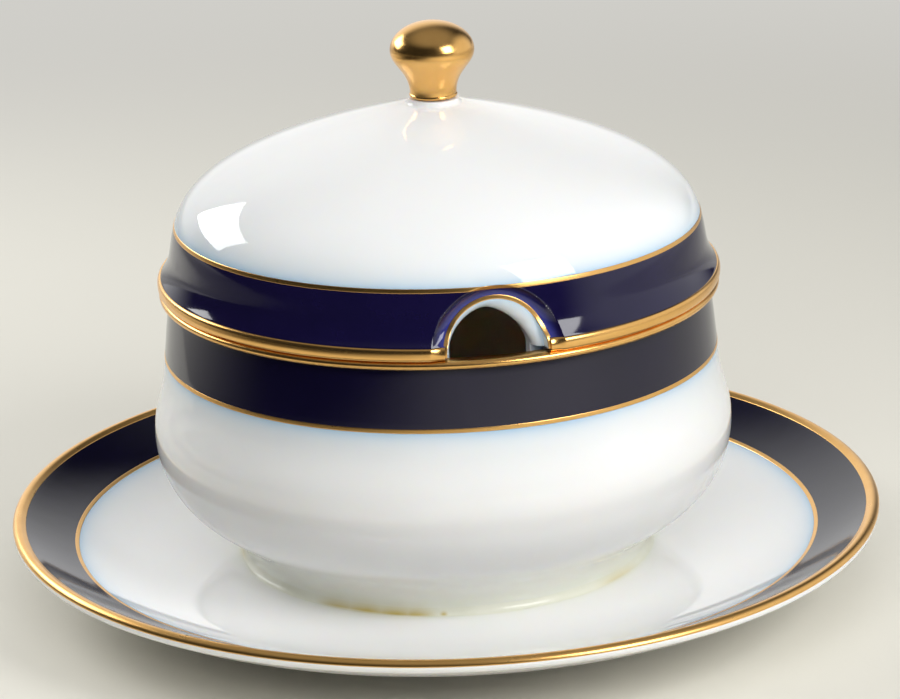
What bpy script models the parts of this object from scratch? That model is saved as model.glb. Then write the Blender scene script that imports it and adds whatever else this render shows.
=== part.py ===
"""Round sauce pot with a domed lid, a ladle notch in the lid's wall and an underplate fused to its foot.

Sizes are in metres and +Z is up. The Z axis runs through the middle of the pot, and the origin lies on the
surface that the underplate stands on. The ladle notch faces -Y. Outlines are lists of (radius, height).
"""

import math

import bmesh
import bpy

# Turning and fits
SEGMENTS = 40
KNOB_SEGMENTS = 24
ARCH_STEPS = 14
MERGE = 0.000001
GAP = 0.0003
LAYER = 0.0006
GILT_LINE = 0.0010

# Underplate: flat well, curved rim, ring underneath
WELL_HEIGHT = 0.0098
WELL_THICKNESS = 0.0045
WELL_MARGIN = 0.0126
RIM_REACH = 0.0431
RIM_RISE = 0.0116
RIM_THICKNESS = 0.0030
PLATE_RING_WIDTH = 0.0050
PLATE_RING_TAPER = 0.0006
PLATE_BAND_WIDTH = 0.0109
PLATE_GILT_WIDTH = 0.0035
PLATE_GILT_END = math.radians(12)

# Glaze seam between the bowl's foot and the well
SEAM_THICKNESS = 0.0006
SEAM_SPREAD = 0.0009

# Bowl: foot, belly, collar and beaded rim
FOOT_RADIUS = 0.0495
FOOT_WIDTH = 0.0050
FOOT_HEIGHT = 0.0068
FOOT_EDGE = 0.0005
FOOT_INSET = 0.0042
COVE_PULL = 0.0037
BELLY_TURN = math.radians(66)
FLOOR_TURN = math.radians(80)
BELLY_RADIUS = 0.0697
BELLY_HEIGHT = 0.0305
SHOULDER_HEIGHT = 0.0149
SHOULDER_PULL = 0.0060
COLLAR_RADIUS = 0.0648
COLLAR_FLARE = 0.0020
COLLAR_HEIGHT = 0.0184
BOWL_BAND_HEIGHT = 0.0130
BOWL_BEAD_RADIUS = 0.0013
BOWL_BEAD_PROUD = 0.0021
BEAD_ROOT = 0.0007
BOWL_WALL = 0.0034
BOWL_FLOOR = 0.0036

# Lid: beaded rim, flare, dome and a flange that drops into the bowl
LID_OVERHANG = 0.0003
LID_BEAD_RADIUS = 0.0015
LID_FLARE = 0.00165
LID_FLARE_HEIGHT = 0.0047
WALL_LEAN = math.radians(11)
DOME_HEIGHT = 0.0357
DOME_SHOULDER = 0.0121
CROWN_REACH = 0.0584
CROWN_SLOPE = math.radians(14.25)
SEAT_RISE = 0.0014
SEAT_FILLET = 0.0011
LID_WALL = 0.0030
FLANGE_DEPTH = 0.0060
FLANGE_WIDTH = 0.0025
FLANGE_CLEARANCE = 0.0008

# Ladle notch
NOTCH_RADIUS = 0.0088
NOTCH_RAISE = 0.0004
NOTCH_LIP = 0.0025
NOTCH_ROUND = 0.0028
NOTCH_MARGIN = 0.0011

# Knob
KNOB_RADIUS = 0.00995
KNOB_HEIGHT = 0.0182
KNOB_CROWN = 0.0068
KNOB_PULL = 0.0034
NECK_PULL = 0.0053
NECK_RADIUS = 0.0055
NECK_RING_HEIGHT = 0.0008
NECK_RING_PROUD = 0.0002
SEAT_MARGIN = 0.0004

# Places worked out from the sizes above
WELL_RADIUS = FOOT_RADIUS + WELL_MARGIN
PLATE_RADIUS = WELL_RADIUS + RIM_REACH
FOOT_BASE = WELL_HEIGHT + SEAM_THICKNESS + 2 * GAP
BELLY_LEVEL = FOOT_BASE + BELLY_HEIGHT
COLLAR_FOOT = BELLY_LEVEL + SHOULDER_HEIGHT
BOWL_BEAD_FOOT = COLLAR_FOOT + COLLAR_HEIGHT
BOWL_RIM = BOWL_BEAD_FOOT + 2 * BOWL_BEAD_RADIUS
BOWL_BEAD_EDGE = COLLAR_RADIUS + BOWL_BEAD_PROUD
BOWL_MOUTH_RADIUS = COLLAR_RADIUS - BOWL_WALL
LID_SEAT = BOWL_RIM + GAP
LID_BEAD_CENTRE = BOWL_BEAD_EDGE + LID_OVERHANG - LID_BEAD_RADIUS
LID_BEAD_TOP = 2 * LID_BEAD_RADIUS
LID_WALL_RADIUS = LID_BEAD_CENTRE - LID_FLARE
LID_WALL_FOOT = LID_BEAD_TOP + LID_FLARE_HEIGHT
KNOB_SEAT = LID_WALL_FOOT + DOME_HEIGHT
KNOB_SEAT_RADIUS = NECK_RADIUS + NECK_RING_PROUD + SEAT_MARGIN
NOTCH_LINE_RADIUS = NOTCH_RADIUS + NOTCH_LIP
NOTCH_CUT_RADIUS = NOTCH_LINE_RADIUS + GILT_LINE
LID_BAND_TOP = NOTCH_RAISE + NOTCH_CUT_RADIUS + NOTCH_MARGIN

# Finishes: base colour, roughness, metallic
PORCELAIN = ((0.91, 0.90, 0.86), 0.12, 0.0)
COBALT = ((0.008, 0.005, 0.040), 0.10, 0.0)
GILT = ((0.72, 0.45, 0.14), 0.25, 1.0)
SEAM_GLAZE = ((0.68, 0.60, 0.38), 0.30, 0.0)


def remove_old_objects():
    """Empty the scene."""
    for old in list(bpy.data.objects):
        bpy.data.objects.remove(old, do_unlink=True)


def curve(start, pull_start, pull_end, end, steps):
    """Points of a cubic curve that leaves start towards one pull point and reaches end from the other."""
    points = []
    for step in range(steps + 1):
        t = step / steps
        weights = ((1 - t) ** 3, 3 * t * (1 - t) ** 2, 3 * t * t * (1 - t), t ** 3)
        corners = (start, pull_start, pull_end, end)
        radius = sum(weight * corner[0] for weight, corner in zip(weights, corners))
        height = sum(weight * corner[1] for weight, corner in zip(weights, corners))
        points.append((radius, height))
    return points


def arc(centre, width, height, first, last, steps):
    """Points of an elliptical arc round centre, from the angle first to the angle last."""
    points = []
    for step in range(steps + 1):
        angle = first + (last - first) * step / steps
        points.append((centre[0] + width * math.cos(angle), centre[1] + height * math.sin(angle)))
    return points


def offset(run, depth):
    """The run moved into the material by depth; a run goes outwards and down along the outer face."""
    moved = []
    for index, point in enumerate(run):
        before = run[max(index - 1, 0)]
        after = run[min(index + 1, len(run) - 1)]
        length = math.dist(before, after)
        inward = ((after[1] - before[1]) / length, (before[0] - after[0]) / length)
        moved.append((point[0] + depth * inward[0], point[1] + depth * inward[1]))
    return moved


def stretch(run, low, high, axis):
    """The part of a run that lies between two values of its radius (axis 0) or height (axis 1)."""
    points = []
    for start, end in zip(run, run[1:]):
        span = end[axis] - start[axis]
        if abs(span) < MERGE:
            continue
        first, last = sorted(((low - start[axis]) / span, (high - start[axis]) / span))
        if first >= 1 or last <= 0:
            continue
        for share in (max(first, 0.0), min(last, 1.0)):
            point = tuple(a + share * (b - a) for a, b in zip(start, end))
            if not points or math.dist(points[-1], point) > MERGE:
                points.append(point)
    return points


def value_at(run, level):
    """Radius of a run at one height."""
    for start, end in zip(run, run[1:]):
        if min(start[1], end[1]) <= level <= max(start[1], end[1]):
            share = (level - start[1]) / (end[1] - start[1])
            return start[0] + share * (end[0] - start[0])
    return run[-1][0]


def finished(name, mesh, finish):
    """Object from a mesh under construction, shaded smooth between its sharp edges, with its own material."""
    colour, roughness, metallic = finish
    bmesh.ops.recalc_face_normals(mesh, faces=mesh.faces)
    data = bpy.data.meshes.new(name)
    mesh.to_mesh(data)
    mesh.free()
    data.shade_smooth()
    data.set_sharp_from_angle(angle=math.radians(32))
    material = bpy.data.materials.new(name + "_finish")
    material.use_nodes = True
    shader = material.node_tree.nodes["Principled BSDF"]
    shader.inputs["Base Color"].default_value = (*colour, 1.0)
    shader.inputs["Roughness"].default_value = roughness
    shader.inputs["Metallic"].default_value = metallic
    data.materials.append(material)
    piece = bpy.data.objects.new(name, data)
    bpy.context.scene.collection.objects.link(piece)
    return piece


def turned(name, outline, finish, segments=SEGMENTS):
    """Solid made by turning an outline round the Z axis; one that starts on the axis ends there too."""
    mesh = bmesh.new()
    points = [mesh.verts.new((radius, 0.0, height)) for radius, height in outline]
    pairs = list(zip(points, points[1:]))
    if outline[0][0] > MERGE:
        pairs.append((points[-1], points[0]))
    edges = [mesh.edges.new(pair) for pair in pairs]
    bmesh.ops.spin(mesh, geom=points + edges, cent=(0, 0, 0), axis=(0, 0, 1), angle=math.tau, steps=segments)
    bmesh.ops.remove_doubles(mesh, verts=mesh.verts, dist=MERGE)
    return finished(name, mesh, finish)


def lofted(name, loops, finish):
    """Solid drawn through loops of equally many points, closed by a face at each end."""
    mesh = bmesh.new()
    rings = [[mesh.verts.new(point) for point in loop] for loop in loops]
    for ring, following in zip(rings, rings[1:]):
        for index in range(len(ring)):
            mesh.faces.new((ring[index - 1], ring[index], following[index], following[index - 1]))
    mesh.faces.new(rings[0])
    mesh.faces.new(rings[-1])
    return finished(name, mesh, finish)


def inlay(name, run, low, high, axis, finish):
    """Band or line of one layer's depth, flush with the run."""
    inner = stretch(offset(run, LAYER), low, high, axis)
    return turned(name, stretch(run, low, high, axis) + inner[::-1], finish)


def bead_ring(name, centre_radius, foot, radius, finish):
    """Half-round bead with a flat back, standing on the height foot."""
    back = centre_radius - BEAD_ROOT
    middle = (centre_radius, foot + radius)
    outline = arc(middle, radius, radius, math.pi / 2, -math.pi / 2, 6)
    return turned(name, outline + [(back, foot), (back, foot + 2 * radius)], finish)


def cut(piece, cutter):
    """Take the cutter's space out of a piece."""
    modifier = piece.modifiers.new("cut", "BOOLEAN")
    modifier.operation = "DIFFERENCE"
    modifier.object = cutter
    cutter.hide_render = True
    cutter.display_type = "WIRE"


def plate_face(steps):
    """Upper face and underside of the rim, both from the well's edge, with the round of the edge between."""
    edge = RIM_THICKNESS / 2
    reach = RIM_REACH - edge
    rise = RIM_RISE - edge
    sweep = (reach ** 2 + rise ** 2 - edge ** 2) / (2 * (rise + edge))
    centre = (WELL_RADIUS, WELL_HEIGHT + sweep)
    tilt = math.asin(reach / (sweep + edge))
    face = arc(centre, sweep, sweep, -math.pi / 2, -math.pi / 2 + tilt, steps)
    under_sweep = sweep + RIM_THICKNESS
    under = arc(centre, under_sweep, under_sweep, -math.pi / 2 + tilt, -math.pi / 2, steps)
    edge_centre = (PLATE_RADIUS - edge, WELL_HEIGHT + RIM_RISE - edge)
    return face, under, edge_centre, edge, tilt


def make_underplate():
    """Underplate and the layers on its rim."""
    face, under, edge_centre, edge, tilt = plate_face(8)
    band_high = PLATE_RADIUS - PLATE_GILT_WIDTH
    band_low = band_high - PLATE_BAND_WIDTH
    line_high = band_low - GAP
    line_low = line_high - GILT_LINE
    groove_low = line_low - GAP

    crest = math.pi / 2 + tilt
    gilt_edge = arc(edge_centre, edge, edge, crest, PLATE_GILT_END, 5)
    gilt_run = stretch(face, band_high + GAP, face[-1][0], 0) + gilt_edge[1:]
    turned("plate_rim_gilding", gilt_run + offset(gilt_run, LAYER)[::-1], GILT)
    inlay("plate_cobalt_band", face, band_low, band_high, 0, COBALT)
    inlay("plate_inner_gilt_line", face, line_low, line_high, 0, GILT)

    groove_end = PLATE_GILT_END - GAP / edge
    groove_edge = arc(edge_centre, edge, edge, crest, groove_end, 5)
    floor = offset(face + groove_edge[1:], LAYER + GAP)
    groove = stretch(floor[:len(face)], groove_low, floor[len(face) - 1][0], 0) + floor[len(face):]
    bare_edge = arc(edge_centre, edge, edge, groove_end, tilt - math.pi / 2, 4)
    ring_inner = WELL_RADIUS - PLATE_RING_WIDTH
    outline = [(0.0, WELL_HEIGHT)]
    outline += stretch(face, face[0][0], groove_low, 0)
    outline += groove + bare_edge + under[1:]
    outline += [(WELL_RADIUS - PLATE_RING_TAPER, 0.0), (ring_inner + PLATE_RING_TAPER, 0.0)]
    outline += [(ring_inner, WELL_HEIGHT - WELL_THICKNESS), (0.0, WELL_HEIGHT - WELL_THICKNESS)]
    turned("underplate", outline, PORCELAIN)


def make_foot_seam():
    """Thin ring of glaze that joins the bowl's foot to the well and shows a little outside the foot."""
    low = WELL_HEIGHT + GAP
    high = low + SEAM_THICKNESS
    inner = FOOT_RADIUS - FOOT_WIDTH
    outer = FOOT_RADIUS + SEAM_SPREAD
    outline = [(FOOT_RADIUS, high), (outer, low + SEAM_THICKNESS / 2), (outer, low)]
    outline += [(inner, low), (inner, high)]
    turned("foot_seam", outline, SEAM_GLAZE)


def bowl_face(steps, turn_in):
    """Outer face of the bowl from the foot of its bead down the collar and round the belly by turn_in."""
    collar_foot = (COLLAR_RADIUS + COLLAR_FLARE, COLLAR_FOOT)
    widest = (BELLY_RADIUS, BELLY_LEVEL)
    slant = math.atan2(COLLAR_FLARE, COLLAR_HEIGHT)
    upper_pull = (
        collar_foot[0] + SHOULDER_PULL * math.sin(slant),
        COLLAR_FOOT - SHOULDER_PULL * math.cos(slant),
    )
    lower_pull = (BELLY_RADIUS, BELLY_LEVEL + SHOULDER_PULL)
    centre = (FOOT_RADIUS - FOOT_INSET, BELLY_LEVEL)
    width = BELLY_RADIUS - centre[0]
    drop = BELLY_HEIGHT - FOOT_HEIGHT
    run = [(COLLAR_RADIUS, BOWL_BEAD_FOOT)]
    run += curve(collar_foot, upper_pull, lower_pull, widest, steps)
    run += arc(centre, width, drop, 0.0, -turn_in, steps)[1:]
    return run


def foot_cove(belly, steps):
    """Hollow curve that leads on from the end of the belly to the foot's upright edge."""
    before, start = belly[-2:]
    share = COVE_PULL / math.dist(before, start)
    start_pull = tuple(b + share * (b - a) for a, b in zip(before, start))
    edge_top = FOOT_BASE + FOOT_EDGE
    return curve(start, start_pull, (FOOT_RADIUS, edge_top + COVE_PULL), (FOOT_RADIUS, edge_top), steps)


def make_bowl():
    """Bowl and the layers round its collar."""
    face = bowl_face(6, BELLY_TURN)
    band_high = BOWL_BEAD_FOOT - GAP
    band_low = band_high - BOWL_BAND_HEIGHT
    line_high = band_low - GAP
    line_low = line_high - GILT_LINE
    bead_centre = BOWL_BEAD_EDGE - BOWL_BEAD_RADIUS
    bead_back = bead_centre - BEAD_ROOT - GAP
    bead_ring("bowl_rim_gilding", bead_centre, BOWL_BEAD_FOOT, BOWL_BEAD_RADIUS, GILT)
    inlay("bowl_cobalt_band", face, band_low, band_high, 1, COBALT)
    inlay("bowl_lower_gilt_line", face, line_low, line_high, 1, GILT)

    underside = FOOT_BASE + FOOT_HEIGHT
    floor = underside + BOWL_FLOOR
    groove_low = line_low - GAP
    groove = stretch(offset(face, LAYER + GAP), groove_low, BOWL_BEAD_FOOT, 1)
    foot_inner = FOOT_RADIUS - FOOT_WIDTH
    inside = stretch(offset(bowl_face(5, FLOOR_TURN), BOWL_WALL), floor, BOWL_BEAD_FOOT, 1)
    outline = [(0.0, floor)] + inside[::-1]
    outline += [(BOWL_MOUTH_RADIUS, BOWL_RIM), (bead_back, BOWL_RIM), (bead_back, BOWL_BEAD_FOOT)]
    outline += groove + stretch(face, face[-1][1], groove_low, 1) + foot_cove(face, 5)[1:]
    outline += [(FOOT_RADIUS, FOOT_BASE), (foot_inner, FOOT_BASE), (foot_inner, underside), (0.0, underside)]
    turned("bowl", outline, PORCELAIN)


def dome_face(steps):
    """Outer face of the dome from the foot of the knob's seat to the foot of the leaning wall."""
    crown_edge = (KNOB_SEAT_RADIUS + SEAT_FILLET, KNOB_SEAT - SEAT_RISE)
    crown_pull = (
        crown_edge[0] + CROWN_REACH * math.cos(CROWN_SLOPE),
        crown_edge[1] - CROWN_REACH * math.sin(CROWN_SLOPE),
    )
    wall_pull = (
        LID_WALL_RADIUS - DOME_SHOULDER * math.sin(WALL_LEAN),
        LID_WALL_FOOT + DOME_SHOULDER * math.cos(WALL_LEAN),
    )
    return curve(crown_edge, crown_pull, wall_pull, (LID_WALL_RADIUS, LID_WALL_FOOT), steps)


def lid_face(steps):
    """Outer face of the lid from the knob's seat down the dome and the flare to the top of the bead."""
    seat_centre = (KNOB_SEAT_RADIUS + SEAT_FILLET, KNOB_SEAT)
    seat = arc(seat_centre, SEAT_FILLET, SEAT_RISE, math.pi, 1.5 * math.pi, 3)
    turn = 2 * (math.atan2(LID_FLARE, LID_FLARE_HEIGHT) - WALL_LEAN)
    sweep = math.hypot(LID_FLARE, LID_FLARE_HEIGHT) / (2 * math.sin(turn / 2))
    flare_centre = (
        LID_WALL_RADIUS + sweep * math.cos(WALL_LEAN),
        LID_WALL_FOOT + sweep * math.sin(WALL_LEAN),
    )
    first = math.pi + WALL_LEAN
    flare = arc(flare_centre, sweep, sweep, first, first + turn, 4)
    return seat + dome_face(steps)[1:] + flare[1:]


def arch(radius, foot):
    """Half-round arch centred a little above the lid's seat, with legs that run down to foot."""
    half_round = arc((0.0, NOTCH_RAISE), radius, radius, math.pi, 0.0, ARCH_STEPS)
    return [(-radius, foot)] + half_round + [(radius, foot)]


def on_wall(sideways, height, radius):
    """Point at a distance from the Z axis, sideways being measured along the lid's wall from the notch."""
    angle = sideways / LID_WALL_RADIUS
    return (radius * math.sin(angle), -radius * math.cos(angle), height)


def arch_cutter(name, sections):
    """Arched block that runs out through the lid's wall; sections are (distance from axis, radius)."""
    foot = -2 * FLANGE_DEPTH
    loops = []
    for distance, radius in sections:
        loops.append([on_wall(sideways, height, distance) for sideways, height in arch(radius, foot)])
    return lofted(name, loops, PORCELAIN)


def notch_sections():
    """Clear arch inside the wall that opens with a round to the outer face."""
    mouth = LID_WALL_RADIUS - NOTCH_ROUND
    sections = [(mouth / 2, NOTCH_RADIUS)]
    for step in range(5):
        angle = math.pi / 2 * step / 4
        radius = NOTCH_RADIUS + NOTCH_LIP * (1 - math.cos(angle))
        sections.append((mouth + NOTCH_ROUND * math.sin(angle), radius))
    sections.append((LID_WALL_RADIUS + 3 * LID_FLARE, NOTCH_LINE_RADIUS))
    return sections


def make_notch_line(face):
    """Gilt line on the outer face along the notch."""
    back = offset(face, LAYER)
    first = math.asin((LID_BEAD_TOP + GAP - NOTCH_RAISE) / NOTCH_LINE_RADIUS)
    loops = []
    for step in range(ARCH_STEPS + 1):
        angle = first + (math.pi - 2 * first) * step / ARCH_STEPS
        loop = []
        for radius, run in (
            (NOTCH_LINE_RADIUS, face),
            (NOTCH_CUT_RADIUS, face),
            (NOTCH_CUT_RADIUS, back),
            (NOTCH_LINE_RADIUS, back),
        ):
            height = NOTCH_RAISE + radius * math.sin(angle)
            loop.append(on_wall(radius * math.cos(angle), height, value_at(run, height)))
        loops.append(loop)
    return lofted("notch_gilt_line", loops, GILT)


def make_lid():
    """Lid and the layers on it, with heights measured from its seat on the bowl's rim."""
    face = lid_face(10)
    band_low = LID_BEAD_TOP + GAP
    line_low = LID_BAND_TOP + GAP
    line_high = line_low + GILT_LINE
    bead_back = LID_BEAD_CENTRE - BEAD_ROOT - GAP
    bead = bead_ring("lid_rim_gilding", LID_BEAD_CENTRE, 0.0, LID_BEAD_RADIUS, GILT)
    band = inlay("lid_cobalt_band", face, band_low, LID_BAND_TOP, 1, COBALT)
    line = inlay("lid_upper_gilt_line", face, line_low, line_high, 1, GILT)
    notch_line = make_notch_line(face)

    groove = stretch(offset(face, LAYER + GAP), LID_BEAD_TOP, line_high + GAP, 1)
    flange_outer = BOWL_MOUTH_RADIUS - FLANGE_CLEARANCE
    flange_inner = flange_outer - FLANGE_WIDTH
    inside = stretch(offset(dome_face(8), LID_WALL), LID_WALL_FOOT, KNOB_SEAT, 1)
    outline = [(0.0, KNOB_SEAT)] + stretch(face, line_high + GAP, KNOB_SEAT, 1) + groove
    outline += [(bead_back, LID_BEAD_TOP), (bead_back, 0.0), (flange_outer, 0.0)]
    outline += [(flange_outer, -FLANGE_DEPTH), (flange_inner, -FLANGE_DEPTH), (flange_inner, LID_BEAD_TOP)]
    outline += inside[::-1] + [(0.0, inside[0][1])]
    lid = turned("lid", outline, PORCELAIN)

    outer = LID_WALL_RADIUS + 3 * LID_FLARE
    inner = LID_WALL_RADIUS / 2
    layer_radius = NOTCH_CUT_RADIUS + GAP
    cut(lid, arch_cutter("notch_cutter", notch_sections()))
    layer_cutter = arch_cutter("layer_cutter", [(inner, layer_radius), (outer, layer_radius)])
    cut(band, layer_cutter)
    cut(bead, layer_cutter)
    return [lid, bead, band, line, notch_line]


def make_knob():
    """Gilded knob with a small ring round its neck's foot."""
    base = KNOB_SEAT + GAP
    top = KNOB_SEAT + KNOB_HEIGHT
    widest = (KNOB_RADIUS, top - KNOB_CROWN)
    neck = (NECK_RADIUS, base + NECK_RING_HEIGHT)
    ring_radius = NECK_RADIUS + NECK_RING_PROUD
    crown = arc((0.0, widest[1]), KNOB_RADIUS, KNOB_CROWN, math.pi / 2, 0.0, 6)
    lower_pull = (NECK_RADIUS, neck[1] + NECK_PULL)
    upper_pull = (KNOB_RADIUS, widest[1] - KNOB_PULL)
    outline = [(0.0, top)] + crown[1:]
    outline += curve(widest, upper_pull, lower_pull, neck, 7)[1:]
    outline += [(ring_radius, neck[1]), (ring_radius, base), (0.0, base)]
    return turned("knob", outline, GILT, KNOB_SEGMENTS)


def make_lid_assembly():
    """Lid pieces under one empty on the axis along which the lid lifts."""
    lift = bpy.data.objects.new("lid_lift", None)
    lift.location = (0.0, 0.0, LID_SEAT)
    bpy.context.scene.collection.objects.link(lift)
    for piece in make_lid() + [make_knob()]:
        piece.parent = lift
    for name in ("notch_cutter", "layer_cutter"):
        bpy.data.objects[name].parent = lift


def main():
    """Build the sauce pot."""
    remove_old_objects()
    make_underplate()
    make_foot_seam()
    make_bowl()
    make_lid_assembly()
    bpy.context.view_layer.update()


main()
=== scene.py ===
import math

import bmesh
import bpy
import numpy as np
from mathutils import Matrix, Vector


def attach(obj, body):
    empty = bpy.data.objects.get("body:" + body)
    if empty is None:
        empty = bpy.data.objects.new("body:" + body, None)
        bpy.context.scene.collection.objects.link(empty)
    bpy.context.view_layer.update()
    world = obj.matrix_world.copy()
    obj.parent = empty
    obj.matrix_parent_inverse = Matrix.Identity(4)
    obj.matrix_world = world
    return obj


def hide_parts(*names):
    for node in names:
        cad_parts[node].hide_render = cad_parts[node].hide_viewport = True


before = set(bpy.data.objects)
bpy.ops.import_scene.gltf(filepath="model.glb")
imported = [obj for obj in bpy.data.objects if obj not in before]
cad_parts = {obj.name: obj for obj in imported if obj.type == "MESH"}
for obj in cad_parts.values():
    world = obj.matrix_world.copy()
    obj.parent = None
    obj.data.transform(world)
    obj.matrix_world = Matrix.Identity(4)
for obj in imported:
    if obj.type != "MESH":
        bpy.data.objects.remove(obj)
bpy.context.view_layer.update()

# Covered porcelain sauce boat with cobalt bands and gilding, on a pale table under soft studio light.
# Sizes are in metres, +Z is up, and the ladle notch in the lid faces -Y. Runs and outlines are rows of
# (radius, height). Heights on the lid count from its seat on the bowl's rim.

# Columns of a run or outline
RADIUS = 0
HEIGHT = 1

# Steps round the pot and along curves
TURNS = 288
ARCH_TURNS = 72
KNOB_TURNS = 96
CURVE_STEPS = 40
SHORT_STEPS = 14
FINE_STEPS = 10
SEAM_STEPS = 8
FLANGE_STEPS = 6
CORNER_STEPS = 5

# Points closer than this are one point, and faces that meet at a larger angle than this make a sharp edge
SAME_PLACE = 1e-7
SHARP_TURN = math.radians(40)

# Underplate
WELL_RADIUS = 0.0621
WELL_HEIGHT = 0.0098
WELL_THICKNESS = 0.0045
RIM_REACH = 0.0431
RIM_RISE = 0.0116
RIM_THICKNESS = 0.0030
RING_WIDTH = 0.0050
RING_TAPER = 0.0006
RING_ROUND = 0.0007
PLATE_BAND_WIDTH = 0.0109
PLATE_GILT_WIDTH = 0.0035
PLATE_GILT_END = math.radians(12)

# Bowl
FOOT_RADIUS = 0.0495
FOOT_BASE = 0.0110
FOOT_WIDTH = 0.0050
FOOT_HEIGHT = 0.0068
FOOT_EDGE = 0.0005
FOOT_INSET = 0.0042
COVE_PULL = 0.0056
BELLY_TURN = math.radians(48)
FLOOR_TURN = math.radians(80)
BELLY_RADIUS = 0.0697
BELLY_LEVEL = 0.0415
SHOULDER_HEIGHT = 0.0149
SHOULDER_PULL = 0.0060
COLLAR_RADIUS = 0.0648
COLLAR_FLARE = 0.0020
COLLAR_HEIGHT = 0.0184
BOWL_BEAD_RADIUS = 0.0013
BOWL_BEAD_PROUD = 0.0021
BOWL_WALL = 0.0034
BOWL_FLOOR = 0.0036
BOWL_BAND_HEIGHT = 0.0130
RIM_CREST = 0.0651
RIM_ROUND = 0.0012
RIM_DROP = 0.0004
RIM_GILT_START = math.radians(125)

# Glaze seam under the foot: its reach, how uneven that is, how far the seam climbs for its reach, and its
# ripples as (size, count round the foot, turn)
SEAM_REACH = 0.0011
SEAM_UNEVENNESS = 0.25
SEAM_CLIMB = 0.6
SEAM_RIPPLES = ((0.6, 5, 0.7), (0.4, 11, 2.1), (0.3, 17, 0.0))

# Lid
LID_SEAT = 0.0777
LID_BEAD_EDGE = 0.0672
LID_BEAD_TOP = 0.00235
LID_BEAD_DROP = 0.00065
LID_WALL_RADIUS = 0.06405
LID_WALL_FOOT = 0.0077
LID_FLARE = 0.00240
BEAD_SQUARENESS = 2.1
WALL_LEAN = math.radians(11)
DOME_HEIGHT = 0.0357
DOME_SHOULDER = 0.0121
CROWN_REACH = 0.0584
CROWN_SLOPE = math.radians(14.25)
SEAT_RISE = 0.0014
SEAT_FILLET = 0.0011
LID_WALL = 0.0030
FLANGE_DEPTH = 0.0060
FLANGE_OUTER = 0.0606
FLANGE_INNER = 0.0581
FLANGE_ROUND = 0.0006
LID_BAND_TOP = 0.0138

# Ladle notch, and the shallow hollow pressed into the lid round it
NOTCH_LINE_RADIUS = 0.0113
NOTCH_RAISE = 0.0004
NOTCH_ROUND = 0.0028
NOTCH_CROWDING = 0.85
OPENING_HALF_WIDTH = 0.0099
OPENING_HEIGHT = 0.0094
OPENING_POINT = 1.2
OPENING_ASIDE = -0.0008
OPENING_LEAN = -0.0012
HOLLOW_DEPTH = 0.0018
HOLLOW_FULL = 0.0122
HOLLOW_REACH = 0.0149
HOLLOW_RISE = 0.0060
HOLLOW_FOOT = 0.35
PLAIN_LEVEL = 0.0220

# Knob
KNOB_RADIUS = 0.00995
KNOB_HEIGHT = 0.0182
KNOB_CROWN = 0.0068
KNOB_PULL = 0.0034
NECK_PULL = 0.0053
NECK_RADIUS = 0.0055
NECK_RING_HEIGHT = 0.0008
NECK_RING_PROUD = 0.0002
NECK_RING_START = math.radians(60)
KNOB_SEAT_RADIUS = 0.0061
KNOB_GAP = 0.0003

# Fired-on layers: the gilt lines stand a little apart from the bands, and the cobalt runs on under them
GILT_LINE = 0.0010
BARE = 0.0003
UNDERLAP = 0.0005
COBALT_PROUD = 0.00003
GILT_PROUD = 0.00007
LAYER_DEPTH = 0.00035
LAYER_EDGE = 0.00020

# Places worked out from the sizes above
PLATE_RADIUS = WELL_RADIUS + RIM_REACH
COLLAR_FOOT = BELLY_LEVEL + SHOULDER_HEIGHT
BOWL_BEAD_FOOT = COLLAR_FOOT + COLLAR_HEIGHT
BOWL_RIM = BOWL_BEAD_FOOT + 2 * BOWL_BEAD_RADIUS - RIM_DROP
BOWL_BEAD_EDGE = COLLAR_RADIUS + BOWL_BEAD_PROUD
BOWL_MOUTH = COLLAR_RADIUS - BOWL_WALL
BOWL_LINE_HIGH = BOWL_BEAD_FOOT - BOWL_BAND_HEIGHT - 2 * BARE
BOWL_LINE_LOW = BOWL_LINE_HIGH - GILT_LINE
PLATE_BAND_HIGH = PLATE_RADIUS - PLATE_GILT_WIDTH
PLATE_BAND_LOW = PLATE_BAND_HIGH - PLATE_BAND_WIDTH
PLATE_LINE_HIGH = PLATE_BAND_LOW - BARE
PLATE_LINE_LOW = PLATE_LINE_HIGH - GILT_LINE
LID_FLARE_HEIGHT = LID_WALL_FOOT - LID_BEAD_TOP
LID_FLARE_EDGE = LID_WALL_RADIUS + LID_FLARE
LID_THROAT_LEVEL = 0.7 * LID_WALL_FOOT
FLANGE_PULL_LEVEL = 0.6 * LID_WALL_FOOT
FLANGE_TOP = -0.1 * FLANGE_DEPTH
KNOB_SEAT = LID_WALL_FOOT + DOME_HEIGHT
NECK_RING_WIDTH = 1.5 * NECK_RING_PROUD
LID_LINE_LOW = LID_BAND_TOP + BARE
LID_LINE_HIGH = LID_LINE_LOW + GILT_LINE
NOTCH_CUT_RADIUS = NOTCH_LINE_RADIUS + GILT_LINE

# Glazed porcelain, with grains in repeats per metre. The haze beside a band has a near and a far part, and
# the grey-green tint near the foot, partly glaze pooling there and partly painted shade, reaches out over
# the plate and up the foot
WHITE = (0.88, 0.88, 0.875)
WARM_WHITE = (0.855, 0.855, 0.84)
TINT_GRAIN = 45.0
SCATTER_SHARE = 0.20
SCATTER_COLOUR = (1.0, 0.7, 0.4)
SCATTER_DEPTH = 0.003
HAZE = (0.36, 0.55, 0.72)
HAZE_NEAR_REACH = 0.0016
HAZE_NEAR_SHARE = 0.70
HAZE_FAR_REACH = 0.0065
HAZE_FAR_SHARE = 0.26
HAZE_GRAIN = 28.0
HAZE_RANGE = (0.6, 1.3)
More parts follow.
